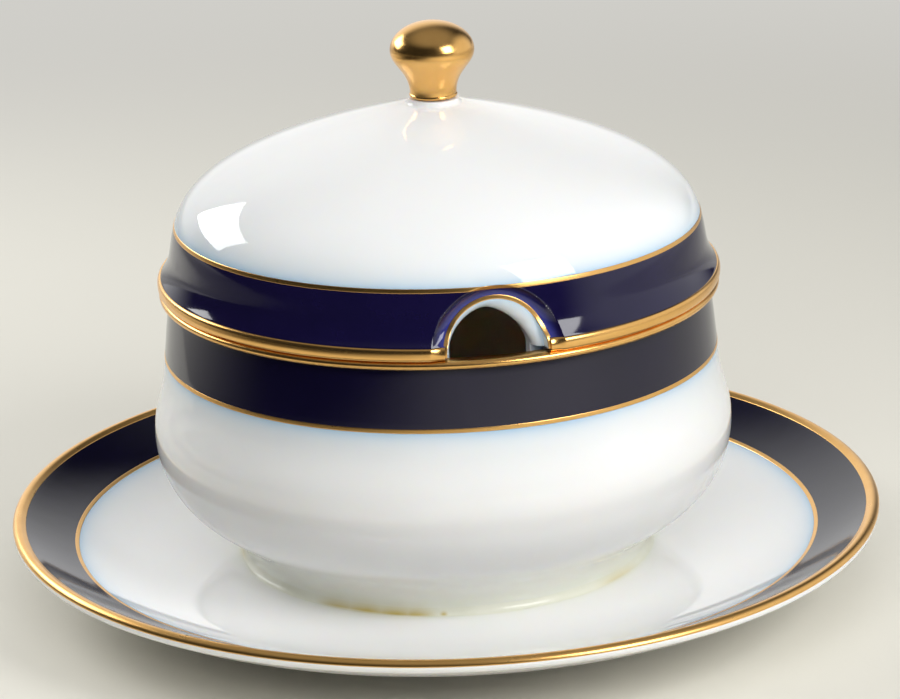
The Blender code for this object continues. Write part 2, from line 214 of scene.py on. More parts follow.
# Grey-green tint near the foot: partly glaze pooling there, partly painted shade
POOLING_SHADE_TINT = (0.80, 0.81, 0.69)
POOLING_SHADE_GRAIN = 90.0
POOLING_SHADE_RANGE = (0.5, 1.0)
POOLING_SHADE_OUT = 0.0010
POOLING_SHADE_UP = 0.0030
POOLING_SHADE_LEVEL = FOOT_BASE + FOOT_HEIGHT / 4
GLAZE_WAVES = 70.0
GLAZE_WAVE_SHARE = 0.9
GLAZE_PITS = 900.0
GLAZE_PIT_SHARE = 0.1
GLAZE_RELIEF = 0.00004
GLAZE_SHINE_GRAIN = 160.0
GLAZE_ROUGHNESS = (0.02, 0.07)

# Glaze stains at the foot: the angle, size and strength of each, and how far they reach up and out
STAINS = (
    (math.radians(-42), 0.0080, 0.80),
    (math.radians(-34), 0.0090, 1.00),
    (math.radians(-26), 0.0090, 0.90),
    (math.radians(-20), 0.0060, 0.90),
    (math.radians(-12.7), 0.0014, 1.30),
    (math.radians(43), 0.0110, 0.45),
    (math.radians(-95), 0.0080, 0.35),
    (math.radians(172), 0.0090, 0.50),
)
AMBER = (0.56, 0.43, 0.10)
STAIN_UP = 0.0013
STAIN_OUT = 0.0004
STAIN_GRAIN = 260.0
STAIN_RANGE = (0.9, 1.5)

# Cobalt: its colour where it is thick and thin, as shares of each band's blue, and in the hollow round the
# notch,
# where it is paler: partly thinner cobalt, partly a painted reflection
THICK_COAT = (0.07, 0.05, 0.45)
THIN_COAT = (0.19, 0.12, 1.0)
PLATE_BLUE = 0.020
# The bowl's blue is darker than the lid's: painted shade on the bowl's upright band
BOWL_SHADED_BLUE = 0.026
LID_BLUE = 0.046
HOLLOW_THIN_AND_SHEEN = (0.030, 0.034, 0.20)
COBALT_CLOUDS = 55.0
COBALT_GRAIN = 700.0
COBALT_GRAIN_SHARE = 0.35
COBALT_WAVES = 120.0
COBALT_RELIEF = 0.00005
COBALT_ROUGHNESS = (0.04, 0.12)

# Gold: its fine marks are drawn out round the pot
BRIGHT_GOLD = (0.91, 0.545, 0.185)
RUBBED_GOLD = (0.80, 0.44, 0.130)
RUBBED_GRAIN = 240.0
MARKS_GRAIN = (60.0, 60.0, 3000.0)
GOLD_RELIEF = 0.00001
GOLD_UNEVENNESS = 0.09
LINE_ROUGHNESS = 0.24
PLATE_RIM_ROUGHNESS = 0.24
BEAD_ROUGHNESS = 0.20
KNOB_ROUGHNESS = 0.17

# Glaze of the seam
SEAM_GREY = (0.74, 0.75, 0.62)
SEAM_PALE = (0.83, 0.83, 0.73)
SEAM_GRAIN = 130.0
SEAM_WAVES = 400.0
SEAM_RELIEF = 0.0001
SEAM_ROUGHNESS = (0.10, 0.25)

# Camera: fitted to the photograph, with the turn counted from -Y towards +X. Sides and places on the stage
# are given as seen from it: to the right, away and up
CAMERA_TURN = math.radians(-11.4)
CAMERA_RISE = math.radians(18.0)
CAMERA_ROLL = math.radians(-1.712)
CAMERA_DISTANCE = 0.8596
CAMERA_LENS = 142.66
CAMERA_SENSOR = 36.0
AIM_ASIDE = 0.00213
AIM_HEIGHT = 0.05832
TO_THE_RIGHT = (1.0, 0.0, 0.0)
AWAY = (0.0, 1.0, 0.0)

# Table, and where its glow starts and is full: to the eye by distance from the pot, and in reflections
TABLE_REACH = 4.0
TABLE_DARK = (0.755, 0.735, 0.660)
TABLE_PALE = (0.785, 0.765, 0.690)
TABLE_TINT_GRAIN = 3.0
TABLE_GRAIN = 900.0
TABLE_RELIEF = 0.0001
TABLE_ROUGHNESS = (0.5, 0.7)
TABLE_SHEEN = 0.2
TABLE_GLOW = (0.63, 0.620, 0.585)
GLOW_SEEN = (0.28, 0.70)
GLOW_BEHIND = (0.30, 1.0)
GLOW_RIGHT = (0.40, 1.2)

# Dark card on the table: its corners as (to the right, away), and where it fades towards its edges
FLAG_PLAN = ((-1.4, -1.4), (0.08, -1.4), (0.08, -0.20), (-0.24, -0.16), (-0.28, 0.34), (-1.4, 0.12))
FLAG_HEIGHT = 0.003
FLAG_DARK = (0.010, 0.010, 0.011)
FLAG_PALE = (0.68, 0.66, 0.60)
FLAG_BACK = (-0.2, 1.0, 0.0)
FADE_RIGHT = (-0.40, 0.08)
FADE_BACK = (-0.10, 0.40)
FLAG_WEAVE = 800.0
FLAG_RELIEF = 0.0002
FLAG_ROUGHNESS = (0.85, 0.95)

# Room: its colour, its strength where it is dark and its strength as the camera sees it. Each of its lights
# has a direction, the cosines of the angles from it where the light starts and is full, and a strength
ROOM_COLOUR = (0.98, 0.98, 0.97)
ROOM_DARK = 0.03
ROOM_SEEN = 0.62
ROOM_LIGHT = (
    ((0.98, 0.17, 0.10), 0.64, 0.90, 0.85),
    ((-0.24, 0.96, 0.11), 0.70, 0.97, 1.10),
    ((0.00, 0.00, 1.00), 0.60, 0.95, 0.30),
)

# Lamps: place, width, height, power and whether they leave a highlight. All face a point above the table
LAMP_AIM = 0.08
LAMPS = {
    "softbox_right": ((0.52, -0.49, 0.50), 0.34, 0.42, 3.75, True),
    "softbox_left": ((-0.53, 0.35, 0.38), 0.40, 0.26, 2.0, True),
    "fill_top": ((0.10, 0.10, 0.95), 0.9, 0.7, 0.9, False),
    "fill_front": ((-0.12, -1.10, 1.05), 1.2, 0.9, 10.0, False),
}


# Runs and outlines

def curve(start, pull_start, pull_end, end, steps=CURVE_STEPS):
    """Points of a cubic curve that leaves start towards one pull point and reaches end from the other."""
    t = np.linspace(0, 1, steps + 1)[:, None]
    corners = [np.array(point) for point in (start, pull_start, pull_end, end)]
    weights = ((1 - t) ** 3, 3 * t * (1 - t) ** 2, 3 * t * t * (1 - t), t ** 3)
    return sum(weight * corner for weight, corner in zip(weights, corners))


def arc(centre, width, height, first, last, steps=SHORT_STEPS):
    """Points of an elliptical arc round centre, from the angle first to the angle last."""
    angles = np.linspace(first, last, steps + 1)
    out = centre[RADIUS] + width * np.cos(angles)
    up = centre[HEIGHT] + height * np.sin(angles)
    return np.stack([out, up], axis=1)


def bead(top, foot, edge):
    """Bulging side of a bead between two points one above the other, out to the radius edge."""
    angles = np.linspace(math.pi / 2, -math.pi / 2, 2 * SHORT_STEPS + 1)
    fuller = 2 / BEAD_SQUARENESS
    out = np.abs(np.cos(angles)) ** fuller
    up = np.sign(np.sin(angles)) * np.abs(np.sin(angles)) ** fuller
    half = (top[HEIGHT] - foot[HEIGHT]) / 2
    radius = top[RADIUS] + (edge - top[RADIUS]) * out
    return np.stack([radius, foot[HEIGHT] + half * (1 + up)], axis=1)


def joined(*runs):
    """Runs one after the other, each a row of points or a single point."""
    points = np.concatenate([np.atleast_2d(run) for run in runs])
    steps = np.linalg.norm(np.diff(points, axis=0), axis=1)
    return points[np.concatenate([[True], steps > SAME_PLACE])]


def inward(run):
    """Direction into the material at each point of a run that goes outwards or down the outer face."""
    along = np.gradient(run, axis=0)
    along /= np.linalg.norm(along, axis=1)[:, None]
    return np.stack([along[:, HEIGHT], -along[:, RADIUS]], axis=1)


def offset(run, depth):
    """The run moved into the material by depth."""
    return run + depth * inward(run)


def stretch(run, low, high, axis):
    """Evenly spaced points of a run between two of its radii or heights, going outwards or down."""
    order = np.argsort(run[:, axis])
    levels = np.linspace(low, high, SHORT_STEPS + 1)
    other = np.interp(levels, run[order, axis], run[order, 1 - axis])
    if axis == RADIUS:
        return np.stack([levels, other], axis=1)
    return np.stack([other, levels], axis=1)[::-1]


def radius_at(run, height):
    """Radius of a run at given heights."""
    order = np.argsort(run[:, HEIGHT], kind="stable")
    return np.interp(height, run[order, HEIGHT], run[order, RADIUS])


def rounded(share, edge):
    """Height across a layer, where share runs from 0 to 1: quarter rounds of width edge, flat between."""
    rise = np.clip(np.minimum(share, 1 - share) / edge, 0, 1)
    return np.sqrt(1 - (1 - rise) ** 2)


def layer_outline(run, proud):
    """Closed outline of a layer that lies on a run, its back let into the porcelain."""
    lengths = np.concatenate([[0], np.cumsum(np.linalg.norm(np.diff(run, axis=0), axis=1))])
    height = rounded(lengths / lengths[-1], LAYER_EDGE / lengths[-1])
    into = inward(run)
    return np.concatenate([run - (proud * height)[:, None] * into, (run + LAYER_DEPTH * into)[::-1]])


# Meshes

def on_columns(angles, radius, height):
    """Points at angles counted from -Y towards +X."""
    x = radius * np.sin(angles)
    y = -radius * np.cos(angles)
    return np.stack([x, y, np.broadcast_to(height, x.shape)], axis=-1)


def turned(outline, count=TURNS):
    """Columns of points made by turning an outline round the Z axis."""
    angles = np.arange(count) * math.tau / count
    return on_columns(angles[:, None], outline[:, RADIUS], outline[:, HEIGHT])


def mesh_of(name, columns, looped=True, ring=True):
    """Closed mesh from columns of points. A looped column closes on itself, and any other runs from axis
    to axis. The columns close into a ring, or end in two flat faces."""
    count, length = columns.shape[:2]
    index = np.arange(count * length).reshape(count, length)
    here = index if ring else index[:-1]
    there = np.roll(index, -1, axis=0) if ring else index[1:]
    if looped:
        quads = (here, there, np.roll(there, -1, axis=1), np.roll(here, -1, axis=1))
    else:
        quads = (here[:, :-1], there[:, :-1], there[:, 1:], here[:, 1:])
    faces = np.stack(quads, axis=-1).reshape(-1, 4).tolist()
    if not ring:
        faces += [index[0].tolist(), index[-1].tolist()]
    data = bpy.data.meshes.new(name)
    data.from_pydata(columns.reshape(-1, 3).tolist(), [], faces)
    mesh = bmesh.new()
    mesh.from_mesh(data)
    bmesh.ops.remove_doubles(mesh, verts=mesh.verts, dist=SAME_PLACE)
    bmesh.ops.dissolve_degenerate(mesh, edges=mesh.edges, dist=SAME_PLACE)
    bmesh.ops.recalc_face_normals(mesh, faces=mesh.faces)
    mesh.to_mesh(data)
    mesh.free()
    data.shade_smooth()
    data.set_sharp_from_angle(angle=SHARP_TURN)
    return data


def place(name, node, body, columns, material, looped=True, ring=True):
    """Piece that stands for a node of the part and moves with a body."""
    data = mesh_of(name, columns, looped, ring)
    data.materials.append(material)
    piece = bpy.data.objects.new(name, data)
    bpy.context.scene.collection.objects.link(piece)
    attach(piece, body)
    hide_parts(node)
    return piece


# Nodes of materials

def add(tree, kind, inputs, **settings):
    """Node with its settings, and with its inputs set to values or linked to sockets."""
    node = tree.nodes.new(kind)
    for key, value in settings.items():
        setattr(node, key, value)
    for key, value in inputs.items():
        if isinstance(value, bpy.types.NodeSocket):
            tree.links.new(value, node.inputs[key])
        else:
            node.inputs[key].default_value = value
    return node


def calc(tree, operation, first, second=0.0):
    """Output of a math node."""
    return add(tree, "ShaderNodeMath", {0: first, 1: second}, operation=operation).outputs[0]


def scaled(tree, spot, scales):
    """A place with each coordinate multiplied by its scale."""
    return add(tree, "ShaderNodeVectorMath", {0: spot, 1: scales}, operation="MULTIPLY").outputs[0]


def measure(tree, operation, first, second=(0.0, 0.0, 0.0)):
    """Length, distance or dot product of vectors."""
    return add(tree, "ShaderNodeVectorMath", {0: first, 1: second}, operation=operation).outputs["Value"]


def fall(tree, distance, reach):
    """1 where distance is 0 or less, fading to 0 with the given reach."""
    power = calc(tree, "MULTIPLY", calc(tree, "MAXIMUM", distance, 0.0), -1.0 / reach)
    return calc(tree, "POWER", math.e, power)


def spread(tree, value, low, high):
    """A value between 0 and 1 brought to a range."""
    return add(tree, "ShaderNodeMapRange", {"Value": value, "To Min": low, "To Max": high}).outputs[0]


def ramp(tree, value, start, full, height=1.0):
    """0 where a value is at start, rising smoothly to height where it is at full."""
    inputs = {"Value": value, "From Min": start, "From Max": full, "To Max": height}
    return add(tree, "ShaderNodeMapRange", inputs, interpolation_type="SMOOTHSTEP").outputs[0]


def blend(tree, share, first, second):
    """Colour between two colours. The node's colours are its inputs 6 and 7 and its output 2."""
    node = add(tree, "ShaderNodeMix", {"Factor": share}, data_type="RGBA")
    for socket, colour in ((node.inputs[6], first), (node.inputs[7], second)):
        if isinstance(colour, bpy.types.NodeSocket):
            tree.links.new(colour, socket)
        else:
            socket.default_value = (*colour, 1.0)
    return node.outputs[2]


def noise(tree, spot, grain, detail=2.0, roughness=0.5):
    """Noise over a place."""
    inputs = {"Vector": spot, "Scale": grain, "Detail": detail, "Roughness": roughness}
    return add(tree, "ShaderNodeTexNoise", inputs).outputs[0]


def bump(tree, height, distance, strength):
    """Normal from a height."""
    inputs = {"Height": height, "Distance": distance, "Strength": strength}
    return add(tree, "ShaderNodeBump", inputs).outputs[0]


def new_material(name):
    """Empty surface material: its tree, its shader and the piece's own coordinates."""
    material = bpy.data.materials.new(name)
    material.use_nodes = True
    tree = material.node_tree
    spot = tree.nodes.new("ShaderNodeTexCoord").outputs["Object"]
    return material, tree, tree.nodes["Principled BSDF"], spot


def link_surface(tree, shader, colour, roughness, normal):
    """Link the varying inputs of a shader."""
    tree.links.new(colour, shader.inputs["Base Color"])
    tree.links.new(roughness, shader.inputs["Roughness"])
    tree.links.new(normal, shader.inputs["Normal"])


def height_of(tree, spot):
    """Height of a place."""
    return add(tree, "ShaderNodeSeparateXYZ", {0: spot}).outputs["Z"]


def from_axis(tree, spot):
    """Level vector from the Z axis to a place."""
    return scaled(tree, spot, (1, 1, 0))


def radius_of(tree, spot):
    """Distance of a place from the Z axis."""
    return measure(tree, "LENGTH", from_axis(tree, spot))


def turned_away(tree, direction):
    """1 on faces that look against a direction, and 0 on the others."""
    normal = tree.nodes.new("ShaderNodeTexCoord").outputs["Normal"]
    return calc(tree, "LESS_THAN", measure(tree, "DOT_PRODUCT", normal, direction), 0.0)


# Materials

def haze(tree, spot, distance):
    """How blue the glaze is at a distance from a band's gilt line. It is not blue under the band."""
    near = calc(tree, "MULTIPLY", fall(tree, distance, HAZE_NEAR_REACH), HAZE_NEAR_SHARE)
    far = calc(tree, "MULTIPLY", fall(tree, distance, HAZE_FAR_REACH), HAZE_FAR_SHARE)
    patchy = spread(tree, noise(tree, spot, HAZE_GRAIN), *HAZE_RANGE)
    blue = calc(tree, "MULTIPLY", calc(tree, "ADD", near, far), patchy)
    return calc(tree, "MULTIPLY", blue, calc(tree, "GREATER_THAN", distance, -UNDERLAP))


def stains(tree, spot):
    """How strongly each place at the foot is stained."""
    total = 0.0
    for angle, size, strength in STAINS:
        middle = (FOOT_RADIUS * math.sin(angle), -FOOT_RADIUS * math.cos(angle), WELL_HEIGHT)
        share = ramp(tree, measure(tree, "DISTANCE", spot, middle), size, 0.0, strength)
        total = calc(tree, "MAXIMUM", total, share)
    above = calc(tree, "SUBTRACT", height_of(tree, spot), WELL_HEIGHT)
    outside = calc(tree, "SUBTRACT", radius_of(tree, spot), FOOT_RADIUS + SEAM_REACH / 2)
    near = calc(tree, "MULTIPLY", fall(tree, above, STAIN_UP), fall(tree, outside, STAIN_OUT))
    patchy = spread(tree, noise(tree, spot, STAIN_GRAIN), *STAIN_RANGE)
    return calc(tree, "MULTIPLY", calc(tree, "MULTIPLY", total, patchy), near)


def porcelain(name, from_line, pooling_and_shade=None):
    """Glazed porcelain with the faint blue that cobalt leaves in the glaze beside a band. from_line gives
    the distance from the band's gilt line, with a metre more on the other face of the wall, and
    pooling_and_shade how strongly a place near the foot is tinted grey-green, partly for glaze pooling
    there and partly as painted shade."""
    material, tree, shader, spot = new_material(name)
    shader.inputs["Subsurface Weight"].default_value = SCATTER_SHARE
    shader.inputs["Subsurface Radius"].default_value = SCATTER_COLOUR
    shader.inputs["Subsurface Scale"].default_value = SCATTER_DEPTH
    colour = blend(tree, noise(tree, spot, TINT_GRAIN, detail=3.0), WHITE, WARM_WHITE)
    colour = blend(tree, haze(tree, spot, from_line(tree, spot)), colour, HAZE)
    # Grey-green tint near the foot: partly glaze pooling there, partly painted shade
    if pooling_and_shade:
        patchy = spread(tree, noise(tree, spot, POOLING_SHADE_GRAIN), *POOLING_SHADE_RANGE)
        colour = blend(tree, calc(tree, "MULTIPLY", pooling_and_shade(tree, spot), patchy), colour, POOLING_SHADE_TINT)
        colour = blend(tree, stains(tree, spot), colour, AMBER)
    waves = calc(tree, "MULTIPLY", noise(tree, spot, GLAZE_WAVES), GLAZE_WAVE_SHARE)
    pits = calc(tree, "MULTIPLY", noise(tree, spot, GLAZE_PITS), GLAZE_PIT_SHARE)
    relief = bump(tree, calc(tree, "ADD", waves, pits), GLAZE_RELIEF, strength=0.5)
    shine = spread(tree, noise(tree, spot, GLAZE_SHINE_GRAIN), *GLAZE_ROUGHNESS)
    link_surface(tree, shader, colour, shine, relief)
    return material


def cobalt(name, blue, thin_and_sheen=None):
    """Dark cobalt under clear glaze, a little thinner in places. blue is how blue it is where it is thin,
    and thin_and_sheen gives how much paler it is in the hollow round the notch, partly where the cobalt
    has run thin and partly as a painted reflection."""
    material, tree, shader, spot = new_material(name)
    clouds = noise(tree, spot, COBALT_CLOUDS, detail=4.0, roughness=0.6)
    thick = [share * blue for share in THICK_COAT]
    thin = [share * blue for share in THIN_COAT]
    colour = blend(tree, clouds, thick, thin)
    grain = spread(tree, noise(tree, spot, COBALT_GRAIN), 0.0, COBALT_GRAIN_SHARE)
    colour = blend(tree, grain, colour, thick)
    # Paler in the hollow round the notch: partly thinner cobalt, partly a painted reflection
    if thin_and_sheen:
        colour = blend(tree, thin_and_sheen(tree, spot), colour, HOLLOW_THIN_AND_SHEEN)
    relief = bump(tree, noise(tree, spot, COBALT_WAVES), COBALT_RELIEF, strength=0.5)
    link_surface(tree, shader, colour, spread(tree, clouds, *COBALT_ROUGHNESS), relief)
    return material


def gold(name, smooth):
    """Satin gold with faint marks round the pot and slightly rubbed patches. smooth is its roughness where
    it is smoothest."""
    material, tree, shader, spot = new_material(name)
    shader.inputs["Metallic"].default_value = 1.0
    rubbed = noise(tree, spot, RUBBED_GRAIN, detail=4.0, roughness=0.6)
    colour = blend(tree, rubbed, BRIGHT_GOLD, RUBBED_GOLD)
    marks = noise(tree, scaled(tree, spot, MARKS_GRAIN), 1.0, detail=3.0, roughness=0.6)
    patches = calc(tree, "MULTIPLY", calc(tree, "ADD", rubbed, marks), 0.5)
    shine = spread(tree, patches, smooth, smooth + GOLD_UNEVENNESS)
    link_surface(tree, shader, colour, shine, bump(tree, rubbed, GOLD_RELIEF, strength=0.10))
    return material


def seam_glaze():
    """Glaze that filled the joint under the foot, green-grey with amber patches."""
    material, tree, shader, spot = new_material("seam_glaze")
    colour = blend(tree, noise(tree, spot, SEAM_GRAIN, detail=3.0), SEAM_GREY, SEAM_PALE)
    colour = blend(tree, stains(tree, spot), colour, AMBER)
    waves = noise(tree, spot, SEAM_WAVES)
    shine = spread(tree, waves, *SEAM_ROUGHNESS)
    link_surface(tree, shader, colour, shine, bump(tree, waves, SEAM_RELIEF, strength=0.5))
    return material


# Underplate

def plate_runs():
    """Upper face of the rim, its edge to the end of the gilding, the bare edge, and the underside."""
    edge = RIM_THICKNESS / 2
    reach = RIM_REACH - edge
    rise = RIM_RISE - edge
    sweep = (reach ** 2 + rise ** 2 - edge ** 2) / (2 * (rise + edge))
    centre = (WELL_RADIUS, WELL_HEIGHT + sweep)
    tilt = math.asin(reach / (sweep + edge))
    edge_centre = (PLATE_RADIUS - edge, WELL_HEIGHT + RIM_RISE - edge)
    under = sweep + RIM_THICKNESS
    face = arc(centre, sweep, sweep, -math.pi / 2, -math.pi / 2 + tilt, CURVE_STEPS)
    gilt_edge = arc(edge_centre, edge, edge, math.pi / 2 + tilt, PLATE_GILT_END)
    bare_edge = arc(edge_centre, edge, edge, PLATE_GILT_END, tilt - math.pi / 2)
    underside = arc(centre, under, under, -math.pi / 2 + tilt, -math.pi / 2, CURVE_STEPS)
    return face, gilt_edge, bare_edge, underside


def inside_plate_line(tree, spot):
    """Distance from the plate's gilt line towards the middle, on the upper face."""
    distance = calc(tree, "SUBTRACT", PLATE_LINE_LOW, radius_of(tree, spot))
    return calc(tree, "ADD", distance, turned_away(tree, (0, 0, 1)))


def plate_pooling_and_shade(tree, spot):
    """How strongly the plate is tinted grey-green round the bowl's foot: partly glaze pooling there, partly
    painted shade next to the foot.
    """
    outside = calc(tree, "SUBTRACT", radius_of(tree, spot), FOOT_RADIUS + SEAM_REACH)
    return fall(tree, outside, POOLING_SHADE_OUT)


def make_underplate():
    """Underplate with its cobalt band and gilding."""
    face, gilt_edge, bare_edge, underside = plate_runs()
    inner = WELL_RADIUS - RING_WIDTH
    ring_outer = (WELL_RADIUS - RING_TAPER - RING_ROUND, RING_ROUND)
    ring_inner = (inner + RING_TAPER + RING_ROUND, RING_ROUND)
    outline = joined(
        (0.0, WELL_HEIGHT), (WELL_RADIUS / 2, WELL_HEIGHT), face, gilt_edge, bare_edge, underside,
        arc(ring_outer, RING_ROUND, RING_ROUND, 0.0, -math.pi / 2, CORNER_STEPS),
        arc(ring_inner, RING_ROUND, RING_ROUND, -math.pi / 2, -math.pi, CORNER_STEPS),
        (inner, WELL_HEIGHT - WELL_THICKNESS), (0.0, WELL_HEIGHT - WELL_THICKNESS))
    glaze = porcelain("plate_porcelain", inside_plate_line, plate_pooling_and_shade)
    place("underplate_body", "underplate", "pot", turned(outline), glaze, looped=False)

    run = stretch(face, PLATE_LINE_HIGH - UNDERLAP, PLATE_BAND_HIGH + UNDERLAP, RADIUS)
    band = turned(layer_outline(run, COBALT_PROUD))
    blue = cobalt("plate_cobalt", PLATE_BLUE)
    place("underplate_cobalt", "plate_cobalt_band", "pot", band, blue)

    run = stretch(face, PLATE_LINE_LOW, PLATE_LINE_HIGH, RADIUS)
    line = turned(layer_outline(run, GILT_PROUD))
    gilt = gold("plate_line_gold", LINE_ROUGHNESS)
    place("underplate_line", "plate_inner_gilt_line", "pot", line, gilt)

    run = joined(stretch(face, PLATE_BAND_HIGH + BARE, face[-1][RADIUS], RADIUS), gilt_edge)
    rim = turned(layer_outline(run, GILT_PROUD))
    gilt = gold("plate_rim_gold", PLATE_RIM_ROUGHNESS)
    place("underplate_rim_gold", "plate_rim_gilding", "pot", rim, gilt)


# Bowl

def bowl_face(turn_in):
    """Outer face of the bowl from the foot of its bead down the collar and round the belly by turn_in."""
    collar_foot = (COLLAR_RADIUS + COLLAR_FLARE, COLLAR_FOOT)
    slant = math.atan2(COLLAR_FLARE, COLLAR_HEIGHT)
    pull = np.array((math.sin(slant), -math.cos(slant))) * SHOULDER_PULL
    lower_pull = (BELLY_RADIUS, BELLY_LEVEL + SHOULDER_PULL)
    centre = (FOOT_RADIUS - FOOT_INSET, BELLY_LEVEL)
    width = BELLY_RADIUS - centre[RADIUS]
    drop = BELLY_LEVEL - FOOT_BASE - FOOT_HEIGHT
    collar = np.linspace((COLLAR_RADIUS, BOWL_BEAD_FOOT), collar_foot, SHORT_STEPS + 1)
    shoulder = curve(collar_foot, collar_foot + pull, lower_pull, (BELLY_RADIUS, BELLY_LEVEL))
    belly = arc(centre, width, drop, 0.0, -turn_in, CURVE_STEPS)
    return joined(collar, shoulder, belly)


def foot_cove(belly):
    """Hollow curve that leads on from the end of the belly to the foot's upright edge."""
    along = belly[-1] - belly[-2]
    start_pull = belly[-1] + along / np.linalg.norm(along) * COVE_PULL
    end = (FOOT_RADIUS, FOOT_BASE + FOOT_EDGE)
    end_pull = (FOOT_RADIUS, FOOT_BASE + FOOT_EDGE + COVE_PULL)
    return curve(belly[-1], start_pull, end_pull, end, SHORT_STEPS)


def below_bowl_line(tree, spot):
    """Distance below the bowl's gilt line, on the outer face."""
    distance = calc(tree, "SUBTRACT", BOWL_LINE_LOW, height_of(tree, spot))
    return calc(tree, "ADD", distance, turned_away(tree, from_axis(tree, spot)))


def foot_pooling_and_shade(tree, spot):
    """How strongly the bowl's foot is tinted grey-green, more towards its base: partly glaze pooling,
    partly painted shade.
    """
    return fall(tree, calc(tree, "SUBTRACT", height_of(tree, spot), POOLING_SHADE_LEVEL), POOLING_SHADE_UP)


def make_bowl():
    """Bowl with its cobalt band and gilding."""
    face = bowl_face(BELLY_TURN)
    underside = FOOT_BASE + FOOT_HEIGHT
    floor = underside + BOWL_FLOOR
    foot_inner = FOOT_RADIUS - FOOT_WIDTH
    inside = offset(bowl_face(FLOOR_TURN), BOWL_WALL)
    inside = inside[inside[:, HEIGHT] > floor][::-1]
    rim_centre = (RIM_CREST, BOWL_RIM - RIM_ROUND)
    rim_width = RIM_CREST - BOWL_MOUTH
    outline = joined(
        (0.0, floor), (inside[0][RADIUS] / 2, floor), inside,
        arc(rim_centre, rim_width, RIM_ROUND - LAYER_EDGE, math.pi, math.pi / 2),
        (RIM_CREST, BOWL_BEAD_FOOT), face, foot_cove(face),
        (FOOT_RADIUS, FOOT_BASE), (foot_inner, FOOT_BASE), (foot_inner, underside), (0.0, underside))
    glaze = porcelain("bowl_porcelain", below_bowl_line, foot_pooling_and_shade)
    place("bowl_body", "bowl", "pot", turned(outline), glaze, looped=False)

    run = stretch(face, BOWL_LINE_HIGH - UNDERLAP, BOWL_BEAD_FOOT, HEIGHT)
    band = turned(layer_outline(run, COBALT_PROUD))
    blue = cobalt("bowl_cobalt", BOWL_SHADED_BLUE)
    place("bowl_cobalt", "bowl_cobalt_band", "pot", band, blue)

    run = stretch(face, BOWL_LINE_LOW, BOWL_LINE_HIGH, HEIGHT)
    line = turned(layer_outline(run, GILT_PROUD))
    gilt = gold("bowl_line_gold", LINE_ROUGHNESS)
    place("bowl_line", "bowl_lower_gilt_line", "pot", line, gilt)

    over = arc(rim_centre, rim_width, RIM_ROUND + GILT_PROUD, RIM_GILT_START, math.pi / 2)
    edge = bead((RIM_CREST, BOWL_RIM + GILT_PROUD), (RIM_CREST, BOWL_BEAD_FOOT), BOWL_BEAD_EDGE)
    root = (COLLAR_RADIUS - LAYER_DEPTH, BOWL_BEAD_FOOT)
    rim = turned(joined(over[0] - (0.0, LAYER_DEPTH), over, edge, root))
    gilt = gold("bowl_rim_gold", BEAD_ROUGHNESS)
    place("bowl_rim_gold", "bowl_rim_gilding", "pot", rim, gilt)


def make_foot_seam():
    """Uneven fillet of glaze between the bowl's foot and the well."""
    angles = np.arange(TURNS)[:, None] * math.tau / TURNS
    ripple = sum(size * np.sin(count * angles + turn) for size, count, turn in SEAM_RIPPLES)
    reach = SEAM_REACH * (1 + SEAM_UNEVENNESS * ripple)
    turn_in = np.linspace(0, math.pi / 2, SEAM_STEPS + 1)
    height = FOOT_BASE - WELL_HEIGHT + SEAM_CLIMB * reach
    radius = FOOT_RADIUS + reach * (1 - np.sin(turn_in))
    level = WELL_HEIGHT + height * (1 - np.cos(turn_in))
    back = np.full((TURNS, 2), FOOT_RADIUS - FOOT_WIDTH / 2)
    back_level = np.broadcast_to([FOOT_BASE, WELL_HEIGHT], (TURNS, 2))
    columns = on_columns(angles, np.hstack([radius, back]), np.hstack([level, back_level]))
    place("foot_seam_glaze", "foot_seam", "pot", columns, seam_glaze())


# Lid

def dome_face():
    """Outer face of the dome from the foot of the knob's seat to the foot of the leaning wall."""
    crown_edge = np.array((KNOB_SEAT_RADIUS + SEAT_FILLET, KNOB_SEAT - SEAT_RISE))
    crown_pull = crown_edge + CROWN_REACH * np.array((math.cos(CROWN_SLOPE), -math.sin(CROWN_SLOPE)))
    wall_foot = np.array((LID_WALL_RADIUS, LID_WALL_FOOT))
    wall_pull = wall_foot + DOME_SHOULDER * np.array((-math.sin(WALL_LEAN), math.cos(WALL_LEAN)))
    return curve(crown_edge, crown_pull, wall_pull, wall_foot, 2 * CURVE_STEPS)


def lid_face():
    """Outer face of the lid from the knob's seat down the dome and the flare to the top of the bead."""
    seat_centre = (KNOB_SEAT_RADIUS + SEAT_FILLET, KNOB_SEAT)
    seat = arc(seat_centre, SEAT_FILLET, SEAT_RISE, math.pi, 1.5 * math.pi)
    turn = 2 * (math.atan2(LID_FLARE, LID_FLARE_HEIGHT) - WALL_LEAN)
    sweep = math.hypot(LID_FLARE, LID_FLARE_HEIGHT) / (2 * math.sin(turn / 2))
    centre = (LID_WALL_RADIUS + sweep * math.cos(WALL_LEAN), LID_WALL_FOOT + sweep * math.sin(WALL_LEAN))
    first = math.pi + WALL_LEAN
    return joined(seat, dome_face(), arc(centre, sweep, sweep, first, first + turn))


def lid_inside():
    """Inner face of the lid from the axis down the dome to the flange."""
    dome = offset(dome_face(), LID_WALL)
    end = dome[-1]
    throat_pull = (end[RADIUS], LID_THROAT_LEVEL)
    flange_pull = (FLANGE_INNER, FLANGE_PULL_LEVEL)
    throat = curve(end, throat_pull, flange_pull, (FLANGE_INNER, LID_BEAD_TOP), SHORT_STEPS)
    return joined((0.0, dome[0][HEIGHT]), dome, throat, (FLANGE_INNER, 0.0))


